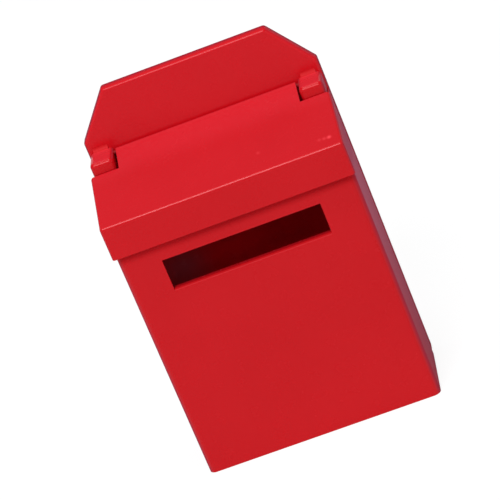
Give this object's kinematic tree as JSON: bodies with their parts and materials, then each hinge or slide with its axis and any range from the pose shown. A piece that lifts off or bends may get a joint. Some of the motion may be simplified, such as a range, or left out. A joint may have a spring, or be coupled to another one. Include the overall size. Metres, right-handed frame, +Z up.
{
  "type": "money box",
  "caption": "Painted folded sheet-metal money box shaped like a small letterbox, with a tall back plate, a sloping hinged lid with a front lip, and a wide money slot in the front",
  "frame": {"origin": "centre of the closed box's footprint on the surface it stands on", "axes": "+Z up, -Y is the front with the money slot, +X is the right side seen from the front"},
  "size_m": [0.1016, 0.0466, 0.1585],
  "materials": {
    "red_paint": "satin",
    "rod_steel": "satin"
  },
  "bodies": {
    "box": {"body_wrap": "red_paint", "back_plate": "red_paint", "floor_pan": "red_paint", "left_hinge_ear": "red_paint", "right_hinge_ear": "red_paint", "hinge_rod": "rod_steel"},
    "lid": {"lid": "red_paint"}
  },
  "joints": [
    {"name": "lid_hinge", "type": "hinge", "parent": "box", "child": "lid", "pos_m": [0, 0.0163, 0.13211], "axis": [-1, 0, 0], "range_deg": [0, 111]}
  ]
}
